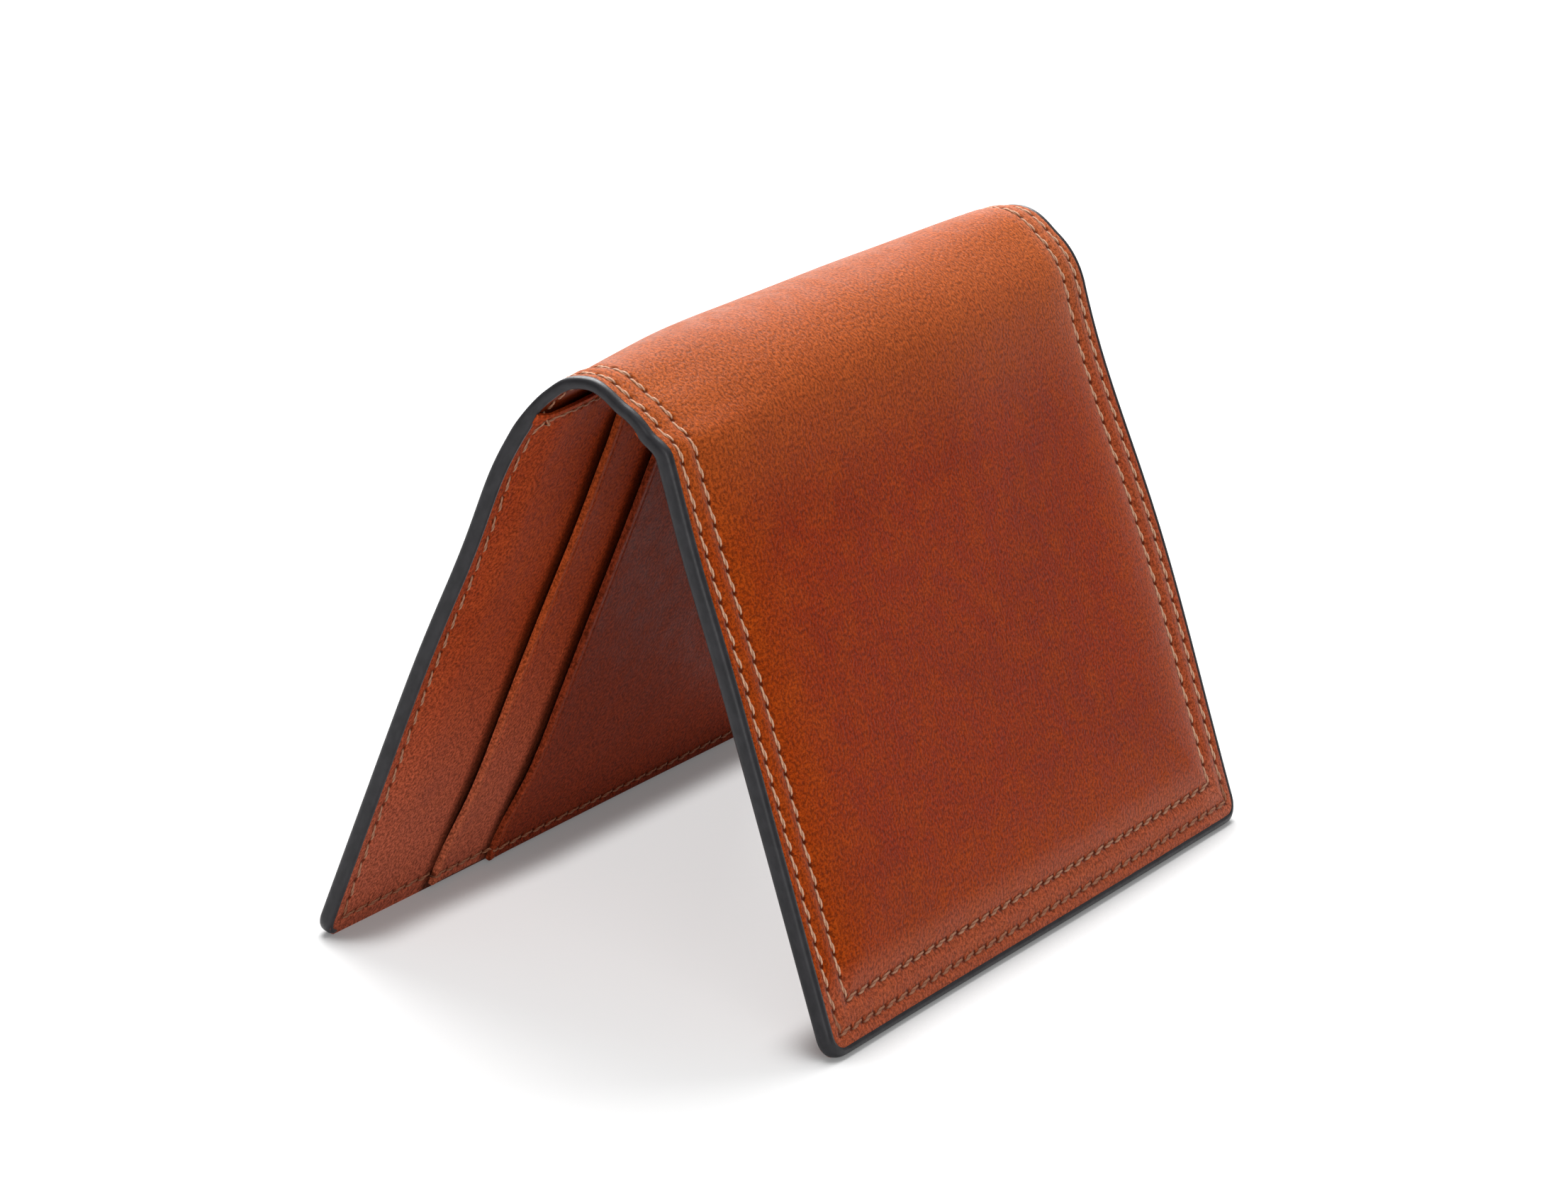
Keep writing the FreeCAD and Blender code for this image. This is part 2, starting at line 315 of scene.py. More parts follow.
def sheet(
    name, side, place, ps, vs, outer, inner, corner, rows_on, material, next_mouth=2 * HALF
):
    """A closed sheet between two height functions over a grid.

    place bends it, rows_on gives the stitch row values that its material reads, and
    next_mouth says where along the spine the pocket lying on it begins.
    """
    p, v = np.meshgrid(ps, vs, indexing="ij")
    p, v = round_corners(p, v, ps[-1], vs[-1], corner)
    top = place(side, p, v, outer(p, v)).reshape(-1, 3)
    low = place(side, p, v, inner(p, v)).reshape(-1, 3)
    rows, columns = p.shape
    flip = side < 0
    faces = grid_faces(rows, columns, 0, flip)
    faces += grid_faces(rows, columns, rows * columns, not flip)
    faces += rim_faces(rows, columns, not flip)
    flat = np.stack([p, v, np.zeros_like(p)], axis=-1).reshape(-1, 3)
    rows_map = rows_on(p, v).reshape(-1, 3)
    attributes = {
        "surface": np.concatenate([flat, flat + (0.0, 0.0, 1.0)]),
        "rows": np.concatenate([rows_map, rows_map]),
        "shaded": np.stack([np.tile((next_mouth - v).ravel(), 2)] * 3, axis=-1),
    }
    return new_object(name, np.concatenate([top, low]), faces, attributes, material)


# ---------------------------------------------------------------------------- shader helpers
class Nodes:
    """Short calls for building one material."""

    def __init__(self, name):
        self.material = bpy.data.materials.new(name)
        self.material.use_nodes = True
        self.tree = self.material.node_tree
        self.shader = self.tree.nodes["Principled BSDF"]

    def new(self, kind, **settings):
        """A new node with the given properties."""
        node = self.tree.nodes.new("ShaderNode" + kind)
        for key, value in settings.items():
            setattr(node, key, value)
        return node

    def link(self, source, target):
        """Joins an output to an input."""
        self.tree.links.new(source, target)

    def feed(self, socket, value):
        """Links a socket, or sets it to a plain value."""
        if isinstance(value, bpy.types.NodeSocket):
            self.link(value, socket)
        else:
            socket.default_value = value

    def attribute(self, name):
        """Values stored on the mesh's points."""
        return self.new("Attribute", attribute_name=name).outputs["Vector"]

    def parts(self, vector):
        """The three components of a vector."""
        node = self.new("SeparateXYZ")
        self.link(vector, node.inputs[0])
        return node.outputs

    def scaled(self, vector, factors):
        """A vector stretched by a factor on each axis."""
        node = self.new("VectorMath", operation="MULTIPLY")
        self.link(vector, node.inputs[0])
        node.inputs[1].default_value = factors
        return node.outputs[0]

    def noise(self, vector, scale, detail=2.0, roughness=0.5, distortion=0.0):
        """Cloudy noise between 0 and 1."""
        node = self.new("TexNoise")
        self.link(vector, node.inputs["Vector"])
        node.inputs["Scale"].default_value = scale
        node.inputs["Detail"].default_value = detail
        node.inputs["Roughness"].default_value = roughness
        node.inputs["Distortion"].default_value = distortion
        return node.outputs["Fac"]

    def cells(self, vector, scale):
        """Distance to the edges of irregular cells."""
        node = self.new("TexVoronoi", feature="DISTANCE_TO_EDGE")
        self.link(vector, node.inputs["Vector"])
        node.inputs["Scale"].default_value = scale
        return node.outputs["Distance"]

    def math(self, operation, a, b=0.0):
        """One step of arithmetic."""
        node = self.new("Math", operation=operation)
        self.feed(node.inputs[0], a)
        self.feed(node.inputs[1], b)
        return node.outputs[0]

    def between(self, value, low, high, to_low=0.0, to_high=1.0):
        """Smoothly remaps value from low..high to to_low..to_high."""
        node = self.new("MapRange", interpolation_type="SMOOTHSTEP")
        self.link(value, node.inputs["Value"])
        node.inputs["From Min"].default_value = low
        node.inputs["From Max"].default_value = high
        node.inputs["To Min"].default_value = to_low
        node.inputs["To Max"].default_value = to_high
        return node.outputs["Result"]

    def mix(self, factor, a, b, blend="MIX"):
        """Colour b over colour a."""
        node = self.new("Mix", data_type="RGBA", blend_type=blend)
        self.feed(node.inputs[0], factor)
        for socket, value in ((node.inputs[6], a), (node.inputs[7], b)):
            self.feed(socket, value if isinstance(value, bpy.types.NodeSocket) else (*value, 1.0))
        return node.outputs[2]

    def bumps(self, *layers):
        """Stacks (height, strength, distance in mm) layers and joins them to the shader."""
        normal = None
        for height, strength, distance in layers:
            node = self.new("Bump")
            node.inputs["Strength"].default_value = strength
            node.inputs["Distance"].default_value = distance * MM
            self.link(height, node.inputs["Height"])
            if normal is not None:
                self.link(normal, node.inputs["Normal"])
            normal = node.outputs["Normal"]
        self.link(normal, self.shader.inputs["Normal"])

    def finish(self, colour, roughness, **constants):
        """Joins colour and roughness to the shader and sets its plain sockets."""
        self.feed(self.shader.inputs["Base Color"], colour)
        self.feed(self.shader.inputs["Roughness"], roughness)
        for key, value in constants.items():
            self.shader.inputs[key.replace("_", " ")].default_value = value
        return self.material


# ---------------------------------------------------------------------------- materials
def stitch_holes(n, rows):
    """1 on whole leather, dipping to 0 at each needle hole."""
    phase = n.math("FRACT", rows[0])
    to_hole = n.math("MINIMUM", phase, n.math("SUBTRACT", 1.0, phase))
    to_hole = n.math("MULTIPLY", to_hole, STITCH_PITCH)
    squares = n.math("ADD", n.math("POWER", to_hole, 2.0), n.math("POWER", rows[1], 2.0))
    return n.between(n.math("SQRT", squares), 0.25, 0.95)


def edge_tone_and_painted_light(n, surface, rows, colour, light, edge_glow, painted_spine_highlight, painted_sheen):
    """Lightens colour by the edges; paints a spine highlight and a pale sheen by the far end and
    foot.
    """
    down, along = n.parts(surface)[:2]
    if edge_glow:
        far, near, amount = edge_glow
        colour = n.mix(n.between(rows[2], far, near, 0.0, amount), colour, light)
    if painted_spine_highlight:
        # painted highlight over the spine
        colour = n.mix(n.between(down, 38.0, 4.0, 0.0, painted_spine_highlight), colour, SPINE_HIGHLIGHT_TONE)
        # painted pale sheen toward the far end
        to_far_end = n.between(along, HALF - 12.0, HALF - INNER_ROW - 1.0, 0.0, 0.12)
        colour = n.mix(to_far_end, colour, PAINTED_SHEEN_TONE)
    # painted pale sheen just above the foot
    if painted_sheen:
        reach, amount = painted_sheen
        to_foot = n.between(down, FOOT - reach, FOOT - INNER_ROW - 1.0, 0.0, amount)
        colour = n.mix(to_foot, colour, PAINTED_SHEEN_TONE)
    return colour


def leather(
    name, tones, grain=1.0, gloss=0.0, wrinkle=0.0, edge_glow=None, painted_spine_highlight=0.0, shaded=0.0,
    painted_sheen=None, specular=0.03, sheen=0.0,
):
    """Vegetable tanned leather: cloudy colour, fine pores, and a dip with painted shade at each
    stitch end.

    tones are the dark, middle and light colours. edge_glow says at which distances from an
    edge the light one begins and is fullest, and how much of it there is.
    painted_spine_highlight is how much paler a painted highlight makes the spine, which also
    brings a painted pale sheen toward the far end. shaded is how dark a painted shade makes the
    leather in front of the next pocket's mouth, and painted_sheen how far above the foot a
    painted pale sheen begins, and how much.
    """
    n = Nodes(name)
    surface = n.attribute("surface")
    rows = n.parts(n.attribute("rows"))
    clouds = n.noise(surface, 0.035, 3.0, 0.55, 0.6)
    mottle = n.noise(surface, 0.22, 3.0, 0.6)
    speckle = n.noise(surface, 1.9, 3.0, 0.75)
    colour = n.mix(n.between(clouds, 0.34, 0.60, 0.72, 1.0), tones[0], tones[1])
    colour = n.mix(n.between(mottle, 0.35, 0.75, 0.0, 0.22), colour, tones[2])
    colour = edge_tone_and_painted_light(n, surface, rows, colour, tones[2], edge_glow, painted_spine_highlight, painted_sheen)
    colour = n.mix(1.0, colour, n.between(speckle, 0.34, 0.66, 0.50, 1.50), "MULTIPLY")
    hole = stitch_holes(n, rows)
    # painted shade in each needle hole
    needle_hole_shade = tuple(0.25 * c for c in tones[0])
    colour = n.mix(n.between(hole, 0.0, 0.6, 0.75, 0.0), colour, needle_hole_shade)
    if shaded:
        before_mouth = n.parts(n.attribute("shaded"))[0]
        colour = n.mix(n.between(before_mouth, 3.2, 0.3, 0.0, shaded), colour, POCKET_SHADE)
    layers = [
        (hole, 0.55, 0.5),
        (n.noise(surface, 0.6, 3.0, 0.6), 0.18 * grain, 0.35),
        (n.cells(surface, 1.2), 0.30 * grain, 0.16),
        (speckle, 0.85 * grain, 0.22),
    ]
    if wrinkle:
        creased = n.noise(n.scaled(surface, (0.55, 1.5, 1.0)), 1.1, 3.0, 0.65, 1.2)
        layers.append((creased, wrinkle, 0.5))
    n.bumps(*layers)
    rough = n.between(mottle, 0.3, 0.7, 0.36 - gloss, 0.50 - gloss)
    return n.finish(
        colour, rough, Specular_IOR_Level=specular, Sheen_Weight=sheen, Sheen_Roughness=0.3
    )


def thread():
    """Waxed two-ply thread with painted shade at its ends, in its ply grooves and toward the foot."""
    n = Nodes("thread")
    along = n.parts(n.attribute("surface"))
    fibre = n.noise(n.attribute("surface"), 9.0, 3.0, 0.6)
    colour = n.mix(n.between(fibre, 0.3, 0.7), *THREAD_TONES)
    # painted shade on the thread, set per stitch and strongest toward the foot
    colour = n.mix(along[2], colour, PAINTED_THREAD_SHADE)
    # painted shade in the grooves between the plies
    groove = n.between(n.parts(n.attribute("ply"))[0], 0.0, -0.9, 0.0, 0.65)
    colour = n.mix(groove, colour, THREAD_GROOVE_SHADE)
    # painted shade at both ends, where the thread dives into the leather
    ends = n.between(n.math("ABSOLUTE", along[0]), 0.66, 0.98)
    colour = n.mix(ends, colour, THREAD_HOLE_SHADE)
    n.bumps((fibre, 0.4, 0.08))
    return n.finish(colour, n.between(fibre, 0.2, 0.8, 0.5, 0.75), Specular_IOR_Level=0.2)


def edge_paint():
    """Dark satin edge paint with a slightly uneven, hand-laid surface."""
    n = Nodes("edge_paint")
    surface = n.attribute("surface")
    streaks = n.noise(n.scaled(surface, (0.5, 1.2, 1.0)), 0.8, 2.0, 0.5)
    grit = n.noise(surface, 3.5, 2.0, 0.6)
    colour = n.mix(n.between(streaks, 0.3, 0.7), *PAINT_TONES)
    n.bumps((streaks, 0.15, 0.15), (grit, 0.12, 0.06))
    return n.finish(colour, n.between(grit, 0.3, 0.7, 0.34, 0.46), Specular_IOR_Level=0.25)


def felt():
    """Hidden felt padding."""
    n = Nodes("felt")
    fibre = n.noise(n.attribute("surface"), 1.2, 5.0, 0.7)
    colour = n.mix(n.between(fibre, 0.3, 0.7), *FELT_TONES)
    n.bumps((fibre, 0.6, 0.4))
    return n.finish(colour, 0.95)


def paper_white():
    """Pale studio floor that glows softly, with a painted contact shadow that dims it round whatever
    stands on it.
    """
    n = Nodes("floor")
    coordinates = n.new("TexCoord").outputs["Object"]
    tone = n.noise(coordinates, 3.0, 2.0, 0.5)
    colour = n.mix(n.between(tone, 0.3, 0.7), *FLOOR_TONES)
    contact = n.new("AmbientOcclusion", samples=16)
    contact.inputs["Distance"].default_value = CONTACT_SHADOW * MM
    glow = n.between(contact.outputs["AO"], 0.50, 0.97, 0.14, 0.63)
    n.link(glow, n.shader.inputs["Emission Strength"])
    return n.finish(colour, 0.8, Specular_IOR_Level=0.1, Emission_Color=(1.0, 1.0, 1.0, 1.0))


COVER_LEATHER = leather(
    "cover_leather",
    ((0.135, 0.0115, 0.0006), (0.202, 0.0178, 0.0008), (0.370, 0.068, 0.0045)),
    edge_glow=(26.0, 3.0, 0.30),
    painted_sheen=(13.0, 0.17),
    painted_spine_highlight=0.62,
    sheen=0.06,
)
# tones darker than the panels', as painted shade for the dark slit under the spine
LINING_LEATHER = leather(
    "lining_leather", ((0.10, 0.012, 0.002), (0.15, 0.021, 0.004), (0.24, 0.040, 0.008)), grain=0.8
)
PANEL_LEATHER = leather(
    "panel_leather",
    ((0.17, 0.021, 0.005), (0.28, 0.040, 0.010), (0.40, 0.075, 0.018)),
    grain=0.8,
    gloss=0.04,
    edge_glow=(1.9, 1.2, 0.55),
    shaded=0.8,
    painted_sheen=(55.0, 0.26),
    specular=0.006,
)
GRAINED_LEATHER = leather(
    "grained_leather",
    ((0.11, 0.014, 0.005), (0.165, 0.024, 0.009), (0.26, 0.044, 0.015)),
    grain=0.9,
    gloss=0.08,
    wrinkle=0.35,
    edge_glow=(1.9, 1.2, 0.55),
    specular=0.006,
)
THREAD = thread()
PAINT = edge_paint()
FELT = felt()


# ---------------------------------------------------------------------------- leather layers
def crown(p, v):
    """Rise of the cover over its padding, inside the inner stitch row."""
    inside = np.maximum(row_distance(p, v) - INNER_ROW - 0.3, 0.0)
    padded = 0.2 + 1.3 * smooth((p - 8.0) / 16.0)
    return padded * (1.0 - np.exp(-inside / 4.5))


def cover_outer(p, v):
    """Face of the cover: rolled edge, sewn border between two grooves, and padded middle."""
    edge = edge_distance(p, v) - PAINT_BULGE
    row = row_distance(p, v)
    rolled = -0.38 * (1.0 - np.clip(edge / 1.4, 0.0, 1.0)) ** 2
    grooves = -0.22 * bump(row, OUTER_ROW, 0.6) - 0.26 * bump(row, INNER_ROW, 0.65)
    ridges = 0.08 * bump(row, 2.1, 0.6) + 0.24 * bump(row, (OUTER_ROW + INNER_ROW) / 2, 1.1)
    return rolled + grooves + ridges + crown(p, v)


def cover_inner(p, v):
    """Back of the cover."""
    return crown(p, v) - COVER


def make_cover(side_name, side):
    """Outer leather of one half."""
    ps = with_rim(spaced(0.0, LEATHER_FOOT, False, True), True, True)
    vs = with_rim(spaced(-LEATHER_HALF, LEATHER_HALF, True, True), True, True)
    return sheet(
        "leather_cover_" + side_name, side, skin_place, ps, vs, cover_outer, cover_inner,
        LEATHER_CORNER, cover_rows, COVER_LEATHER,
    )


def make_padding(side_name, side):
    """Felt between cover and lining, inside the inner stitch row."""
    inset = INNER_ROW + 1.2
    ps = spaced(ARC + 3.0, FOOT - inset, False, False, step=2.0)
    vs = spaced(inset - HALF, HALF - inset, False, False, step=2.0)
    return sheet(
        "felt_pad_" + side_name, side, skin_place, ps, vs,
        lambda p, v: crown(p, v) - COVER - 0.05, lambda p, v: np.full_like(p, -COVER), 2.5,
        cover_rows, FELT,
    )


def make_lining(side_name, side):
    """Thin leather under the cover."""
    ps = with_rim(spaced(0.0, LEATHER_FOOT, False, True), True, False)
    vs = spaced(-LEATHER_HALF, LEATHER_HALF, True, True)
    return sheet(
        "leather_lining_" + side_name, side, skin_place, ps, vs,
        lambda p, v: np.full_like(p, -COVER), lambda p, v: np.full_like(p, -LINING_FACE),
        LEATHER_CORNER, inside_rows, LINING_LEATHER,
    )


def arch_gap(p):
    """How far the arch falls away from the straight line of a wing."""
    return np.maximum(ARC - p, 0.0) ** 2 / (2 * (ARCH_RADIUS - LINING_FACE))


def stand_off(p, v):
    """How far the panels stand off the lining, pinned where they are sewn to it."""
    off_ends = smooth((HALF - np.abs(v) - OUTER_ROW - 0.3) / 7.0)
    pinned = off_ends * smooth((FOOT - p - OUTER_ROW) / 24.0)
    gape = 0.45 * bump(p, FOLD_EDGE, 9.0) * (1.0 - (v / HALF) ** 2)
    clearance = 0.12 + 0.9 * smooth((HALF - np.abs(v)) / 3.0)
    lifted = arch_gap(p) + clearance * smooth((ARC - p) / 4.0)
    return np.maximum((SLIP_GAP + gape) * pinned, lifted)


def card_gap(layer, p, v):
    """How far a pocket stands off the panel behind it: most at its mouth, none at its seams."""
    behind_mouth = np.maximum(v - MOUTHS[layer - 2], 0.0)
    from_fold = smooth((p - ARC - FOLD_ROW - 0.6) / 11.0)
    from_foot = smooth((FOOT - OUTER_ROW - 0.4 - p) / 16.0)
    from_far = smooth((HALF - OUTER_ROW - v) / 9.0)
    return (0.10 + 0.55 * np.exp(-behind_mouth / 16.0)) * from_fold * from_foot * from_far


def panel_thickness(layer, p, v):
    """Panels are a little thicker at their turned mouths."""
    if layer == 1:
        return np.full_like(p, PANEL)
    return PANEL + 0.28 * np.exp(-np.maximum(v - MOUTHS[layer - 2], 0.0) / 1.4)


def panel_back(layer, p, v):
    """Depth of a panel's hidden face below the cover's face."""
    depth = LINING_FACE + stand_off(p, v) + (layer - 1) * PANEL
    for k in range(2, layer + 1):
        depth = depth + card_gap(k, p, v)
    return depth


def panel_front(layer, p, v):
    """Depth of a panel's visible face, rounded at its free edges and creased behind its mouth."""
    from_fold = p - FOLD_EDGE
    rounded = 0.16 * (1.0 - np.clip(from_fold / 0.4, 0.0, 1.0)) ** 2
    to_foot = LEATHER_FOOT - POCKET_INSET - p
    rounded = rounded + 0.16 * (1.0 - np.clip(to_foot / 0.4, 0.0, 1.0)) ** 2
    row = np.abs(row_distance(p, v) - OUTER_ROW)
    sewn = 0.16 * np.exp(-((row / 0.6) ** 2)) + 0.16 * bump(p, ARC + FOLD_ROW, 0.6)
    crease = 0.0
    if layer > 1:
        behind_mouth = v - MOUTHS[layer - 2]
        rounded = rounded + 0.20 * (1.0 - np.clip(behind_mouth / 0.5, 0.0, 1.0)) ** 2
        crease = 0.13 * bump(behind_mouth, 1.7, 0.22)
    depth = panel_back(layer, p, v) + panel_thickness(layer, p, v)
    return depth - rounded - sewn - crease


def mouth_lines(start):
    """Close grid lines behind a pocket's mouth, for its rounded edge and crease."""
    behind = [0.1, 0.25, 0.45, 0.8, 1.2, 1.4, 1.55, 1.7, 1.85, 2.0, 2.3, 2.8, 3.5, 4.6]
    return start + np.array(behind)


def make_panel(layer, name, side_name, side):
    """Card-side leather: layer 1 is the backing panel, 2 and 3 are the pockets on it."""
    inset = -BACKING_OVERHANG if layer == 1 else POCKET_INSET
    v_start = -LEATHER_HALF if layer == 1 else MOUTHS[layer - 2]
    ps = with_rim(spaced(FOLD_EDGE, LEATHER_FOOT - inset, True, True, reach=5.0), True, True)
    vs = spaced(v_start, LEATHER_HALF - max(inset, 0.0), layer == 1, True, reach=5.0)
    if layer > 1:
        vs = np.unique(np.concatenate([vs, mouth_lines(v_start)]))
    material = GRAINED_LEATHER if layer == 3 else PANEL_LEATHER
    mouth = -2 * HALF if layer == 1 else v_start
    next_mouth = MOUTHS[layer - 1] if layer < 3 else 2 * HALF
    return sheet(
        name + "_" + side_name, side, wing_place, ps, vs,
        lambda p, v: -panel_back(layer, p, v), lambda p, v: -panel_front(layer, p, v),
        LEATHER_CORNER, lambda p, v: inside_rows(p, v, mouth), material, next_mouth,
    )


# ---------------------------------------------------------------------------- edge paint
def band_depth(p, v):
    """Depth of the painted edge: cover and lining, and up a wing's ends the backing too."""
    on_wing = smooth((p - FOLD_EDGE + 3.5) / 7.0)
    at_end = 1.0 - smooth((HALF - np.abs(v) - 1.5) / 4.0)
    return LINING_FACE + 0.1 + on_wing * at_end * PANEL


def band_path():
    """Points and outward directions along the leather's edge, near crest to far crest."""
    radius = LEATHER_CORNER
    straight = np.arange(0.0, LEATHER_FOOT - radius, 0.7)
    turn = np.radians(np.arange(0.0, 90.1, 7.5))
    foot = np.arange(-LEATHER_HALF + radius + 0.8, LEATHER_HALF - radius, 0.8)
    centre_p = LEATHER_FOOT - radius
    centre_v = LEATHER_HALF - radius
    near = [(p, -LEATHER_HALF, 0.0, -1.0) for p in straight]
    near += [
        (centre_p + radius * math.sin(a), -centre_v - radius * math.cos(a), math.sin(a), -math.cos(a))
        for a in turn
    ]
    half_foot = [(LEATHER_FOOT, v, 1.0, 0.0) for v in foot]
    far = [(p, -v, dp, -dv) for p, v, dp, dv in reversed(near)]
    return np.array(near + half_foot + far)


def make_band(side_name, side):
    """A rounded bead round the leather's edge, lapping further over its face than its back."""
    path = band_path()
    turn = np.radians(np.linspace(90.0, -90.0, 17))
    half_depth = band_depth(path[:, :1], path[:, 1:2]) / 2
    off_ends = smooth((HALF - np.abs(path[:, 1:2]) - 1.5) / 4.0)
    at_foot = off_ends * smooth((path[:, :1] - FOOT + 4.0) / 3.0)
    lap = np.where(turn > 0, 0.85 - 0.45 * at_foot, 0.35)
    out = (lap + PAINT_BULGE) * np.cos(turn).clip(0.0) ** 0.7 - lap
    up = np.sign(turn) * np.abs(np.sin(turn)) ** 0.85
    ends = np.ones_like(half_depth)
    out = np.concatenate([-1.2 * ends, out, -0.7 * ends], axis=1)
    up = np.concatenate([[0.7], up, [-0.7]])
    height = (half_depth + 0.05) * up - half_depth
    p = path[:, :1] + out * path[:, 2:3]
    v = path[:, 1:2] + out * path[:, 3:4]
    points = skin_place(side, p, v, height).reshape(-1, 3)
    faces = tube_faces(*p.shape, side < 0)
    length = np.concatenate([[0.0], np.cumsum(np.hypot(*np.diff(path[:, :2], axis=0).T))])
    surface = np.stack(np.broadcast_arrays(length[:, None], up, 0.0), axis=-1).reshape(-1, 3)
    name = "edge_bead_" + side_name
    return new_object(name, points, faces, {"surface": surface}, PAINT)


# ---------------------------------------------------------------------------- stitches
def stitch_template(length, girth):
    """Points, place tags and ply of one twisted stitch along X, sunk at both ends."""
    t = np.linspace(-1.0, 1.0, RINGS)[:, None]
    spoke = np.linspace(0.0, 2 * math.pi, SPOKES, endpoint=False)[None, :]
    swell = 0.72 + 0.28 * (1.0 - t ** 4)
    ply = np.cos(2 * (spoke - 3.0 * t))
    radius = girth * swell * (1.0 + 0.34 * ply)
    x = np.broadcast_to(t * length / 2, radius.shape)
    y = radius * np.cos(spoke)
    z = 0.85 * radius * np.sin(spoke) + 0.12 - 0.42 * np.abs(t) ** 4
    tags = np.stack(np.broadcast_arrays(t, spoke, 0.0), axis=-1)
    plies = np.stack([ply, ply, ply], axis=-1)
    return np.stack([x, y, z], axis=-1).reshape(-1, 3), tags.reshape(-1, 3), plies.reshape(-1, 3)


def straight_run(start, end):
    """Centre, heading and length of each stitch of a run from start to end, as (p, v) points."""
    step = np.subtract(end, start)
    length = float(np.hypot(*step))
    count = int(run_count(length))
    heading = math.atan2(step[1], step[0])
    middles = [np.add(start, step * (i + 0.5) / count) for i in range(count)]
    return [(middle[0], middle[1], heading, 1.04 * length / count) for middle in middles]


def rim_runs(inset):
    """Stitches from the near crest down, along the foot and up to the far crest."""
    half = HALF - inset
    foot = FOOT - inset
    return (
        straight_run((0.0, -half), (foot, -half))
        + straight_run((foot, -half), (foot, half))
        + straight_run((foot, half), (0.0, half))
    )


def panel_row_height(p, v):
    """Height of the visible card-side face under the stitches."""
    depth = panel_front(1, p, v)
    depth = np.where(v > MOUTHS[0], panel_front(2, p, v), depth)
    return -np.where(v > MOUTHS[1], panel_front(3, p, v), depth)


def bridge_height(p, v):
    """Height of the row under the spine, which steps from the lining down onto the panel."""
    step = smooth((p - FOLD_EDGE + 1.2) / 1.4)
    return step * (panel_row_height(p, v) + arch_gap(p)) - (1.0 - step) * LINING_FACE


def make_stitches(name, side, place, marks, height_at, outward, girth=STITCH_RADIUS, painted_shade=0.0):
    """All stitches of a row as one piece, each a little different.

    outward is 1 for stitches on the cover and -1 for stitches on the card side.
    """
    rng = np.random.default_rng(len(marks) + side)
    points, tags, plies, faces = [], [], [], []
    for number, (p, v, heading, length) in enumerate(marks):
        shape, tag, ply = stitch_template(length * rng.uniform(0.95, 1.03), girth)
        angle = heading + STITCH_SLANT + rng.normal(0.0, 0.03)
        axis_p = p + shape[:, 0] * math.cos(angle)
        axis_v = v + shape[:, 0] * math.sin(angle)
        dp = -shape[:, 1] * math.sin(angle)
        dv = shape[:, 1] * math.cos(angle)
        level = height_at(axis_p, axis_v)
        height = level + outward * (shape[:, 2] + rng.normal(0.0, 0.02))
        points.append(place(side, axis_p + dp, axis_v + dv, height))
        # painted shade on the thread, fullest toward the foot
        painted_shade_here = max(painted_shade, 0.85 * float(smooth((p + 11.0 - FOOT) / 6.0)))
        tags.append(tag + (0.0, 7.0 * number, painted_shade_here))
        plies.append(ply)
        stitch = tube_faces(RINGS, SPOKES, side * outward > 0, first_corner=1)
        faces += [[number * RINGS * SPOKES + i for i in face] for face in stitch]
    attributes = {"surface": np.concatenate(tags), "ply": np.concatenate(plies)}
    return new_object(name, np.concatenate(points), faces, attributes, THREAD)


def make_threads(side_name, side):
    """The four rows of a side: two on the cover, one on the card side, one under the spine."""
    half = HALF - OUTER_ROW
    foot = FOOT - OUTER_ROW
    fold = ARC + FOLD_ROW
    outer = make_stitches(
        "thread_outer_" + side_name, side, skin_place, rim_runs(OUTER_ROW), cover_outer, 1
    )
    inner = make_stitches(
        "thread_inner_" + side_name, side, skin_place, rim_runs(INNER_ROW), cover_outer, 1
    )
    panel_marks = (
        straight_run((fold, -half), (foot, -half))
        + straight_run((foot, -half), (foot, half))
        + straight_run((foot, half), (fold, half))
        + straight_run((fold, half), (fold, -half))
    )
    panel = make_stitches(
        "thread_panel_" + side_name, side, wing_place, panel_marks, panel_row_height, -1,
        girth=INSIDE_STITCH_RADIUS, painted_shade=0.6,
    )
    lining_marks = straight_run((0.0, -half), (fold, -half))
    lining_marks += straight_run((fold, half), (0.0, half))
    lining = make_stitches(
        "thread_lining_" + side_name, side, skin_place, lining_marks, bridge_height, -1,
        girth=INSIDE_STITCH_RADIUS, painted_shade=0.6,
    )
    return outer, inner, panel, lining


# ---------------------------------------------------------------------------- putting together
def bend(piece):
    """Bakes the piece's placement into its points; its shape already follows the spine and its wing.
    """
    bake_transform(piece)


def build_side(side_name, side):
    """Every piece of one half, with the CAD nodes that each stands for."""
    outer, inner, panel, lining_thread = make_threads(side_name, side)
    padding = make_padding(side_name, side)
    stands_for = (
        (make_cover(side_name, side), ("cover_" + side_name, "cover_spine")),
        (padding, ("padding_" + side_name,)),
        (make_lining(side_name, side), ("lining_" + side_name, "lining_spine")),
        (make_panel(1, "leather_backing", side_name, side), ("backing_panel_" + side_name,)),
        (make_panel(2, "leather_middle", side_name, side), ("pocket_middle_" + side_name,)),
        (make_panel(3, "leather_front", side_name, side), ("pocket_front_" + side_name,)),
        (
            make_band(side_name, side),
            ("paint_foot_" + side_name, "paint_ends_" + side_name, "paint_spine"),
        ),
        (outer, ("stitches_outer_" + side_name, "stitches_outer_spine")),
        (inner, ("stitches_inner_" + side_name, "stitches_inner_spine")),
        (panel, ("stitches_panel_" + side_name,)),
        (lining_thread, ("stitches_lining_spine",)),
    )
    for piece, nodes in stands_for:
        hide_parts(*nodes)
        bend(piece)


for name, sign in SIDES.items():
    build_side(name, sign)


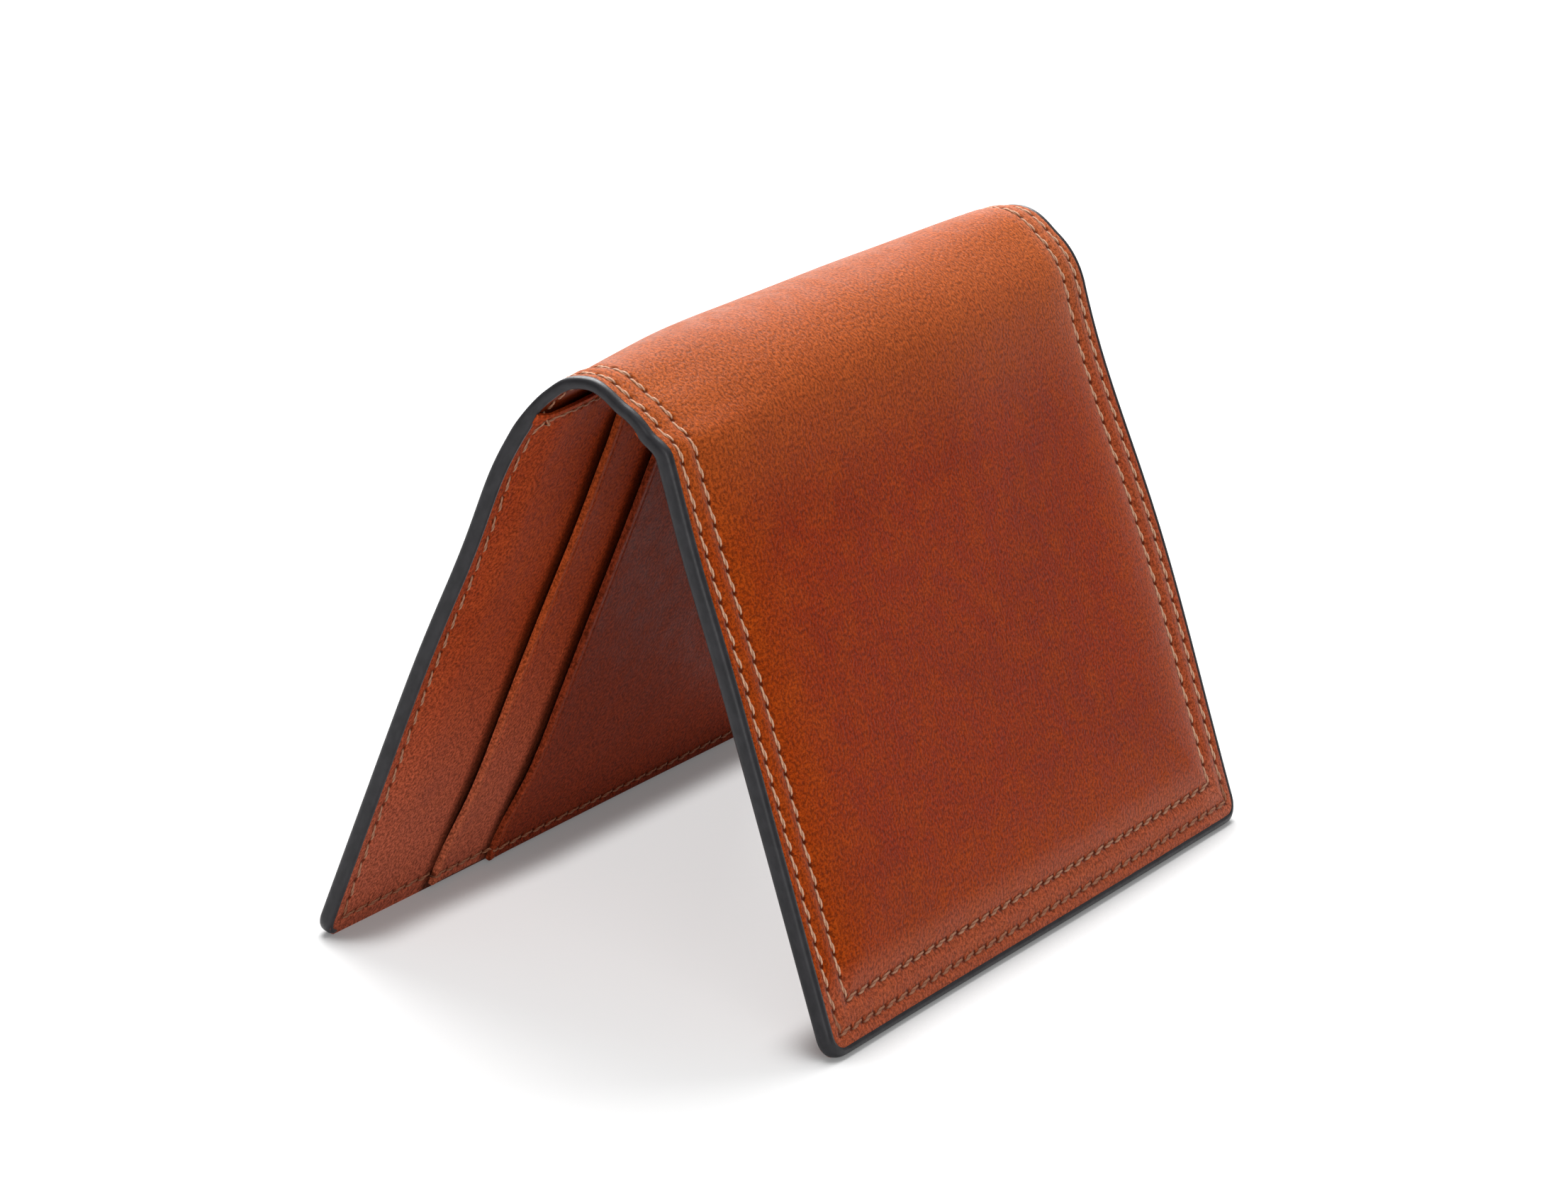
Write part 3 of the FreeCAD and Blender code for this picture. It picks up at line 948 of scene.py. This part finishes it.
# ---------------------------------------------------------------------------- studio
def make_floor():
    """The one large sheet that everything stands on."""
    mesh = bpy.data.meshes.new("studio_floor")
    half = FLOOR_SIZE / 2
    corners = [(-half, -half, 0.0), (half, -half, 0.0), (half, half, 0.0), (-half, half, 0.0)]
    mesh.from_pydata(corners, [], [(0, 1, 2, 3)])
    mesh.materials.append(paper_white())
    floor = bpy.data.objects.new("studio_floor", mesh)
    bpy.context.scene.collection.objects.link(floor)


def make_camera():
    """The camera, turned a little about its own axis."""
    back = Vector((
        math.sin(CAMERA_AZIMUTH) * math.cos(CAMERA_ELEVATION),
        -math.cos(CAMERA_AZIMUTH) * math.cos(CAMERA_ELEVATION),
        math.sin(CAMERA_ELEVATION),
    ))
    level = Vector((0.0, 0.0, 1.0)).cross(back).normalized()
    upright = back.cross(level)
    right = level * math.cos(CAMERA_ROLL) + upright * math.sin(CAMERA_ROLL)
    up = upright * math.cos(CAMERA_ROLL) - level * math.sin(CAMERA_ROLL)
    data = bpy.data.cameras.new("camera")
    data.lens = CAMERA_LENS
    data.sensor_width = 36.0
    data.clip_start = 0.01
    camera = bpy.data.objects.new("camera", data)
    turn = Matrix((right, up, back)).transposed()
    camera.matrix_world = Matrix.Translation(CAMERA_TARGET + back * CAMERA_DISTANCE) @ turn.to_4x4()
    bpy.context.scene.collection.objects.link(camera)
    bpy.context.scene.camera = camera


def add_softbox(name, place, size, watts):
    """A square area light aimed at the middle of the object."""
    data = bpy.data.lights.new(name, "AREA")
    data.size = size
    data.energy = watts
    lamp = bpy.data.objects.new(name, data)
    turn = (Vector(place) - LAMP_TARGET).to_track_quat("Z", "Y").to_matrix()
    lamp.matrix_world = Matrix.Translation(place) @ turn.to_4x4()
    bpy.context.scene.collection.objects.link(lamp)


def make_sky():
    """A soft dome, brightest overhead."""
    world = bpy.data.worlds.new("studio")
    world.use_nodes = True
    tree = world.node_tree
    coordinates = tree.nodes.new("ShaderNodeTexCoord")
    axes = tree.nodes.new("ShaderNodeSeparateXYZ")
    glow = tree.nodes.new("ShaderNodeMapRange")
    glow.interpolation_type = "SMOOTHSTEP"
    glow.inputs["From Min"].default_value = 0.0
    glow.inputs["From Max"].default_value = 0.9
    glow.inputs["To Min"].default_value = 0.10
    glow.inputs["To Max"].default_value = 0.55
    background = tree.nodes["Background"]
    background.inputs["Color"].default_value = (1.0, 1.0, 1.0, 1.0)
    tree.links.new(coordinates.outputs["Generated"], axes.inputs[0])
    tree.links.new(axes.outputs["Z"], glow.inputs["Value"])
    tree.links.new(glow.outputs["Result"], background.inputs["Strength"])
    bpy.context.scene.world = world


make_floor()
make_camera()
make_sky()
add_softbox("back_key", (-0.34, 0.49, 0.86), 0.8, 25.0)
add_softbox("back_panel", (-0.72, 1.09, 0.22), 0.7, 3.5)
add_softbox("front_fill", (0.72, -0.78, 0.42), 0.7, 6.0)
bpy.context.scene.view_settings.view_transform = "Standard"
